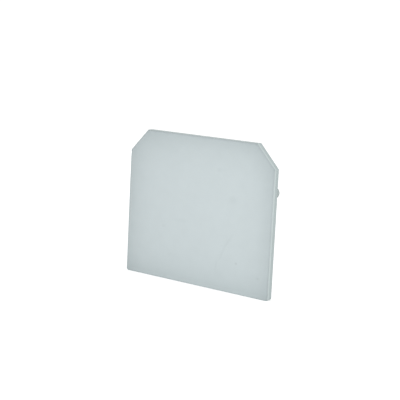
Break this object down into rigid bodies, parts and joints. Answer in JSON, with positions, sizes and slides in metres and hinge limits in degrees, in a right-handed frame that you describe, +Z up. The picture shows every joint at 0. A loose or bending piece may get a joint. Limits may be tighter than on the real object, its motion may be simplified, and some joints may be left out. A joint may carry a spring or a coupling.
{
  "type": "terminal block end cover",
  "caption": "Flat moulded cover plate with chamfered upper corners and press-in pegs, which closes the open side of the last rail-mounted screw terminal block in a row.",
  "frame": {"origin": "centre of the inner face, the flat face that lies on the open side of the terminal block", "axes": "+X along the cover's length, +Y out of the inner face along the pegs, +Z up towards the chamfered corners"},
  "size_m": [0.0426, 0.004, 0.036],
  "materials": {
    "natural_polyamide": "uncoloured polyamide, milky grey and slightly translucent, fine matt moulded surface"
  },
  "bodies": {
    "root": {"end_cover": "natural_polyamide"}
  },
  "joints": []
}
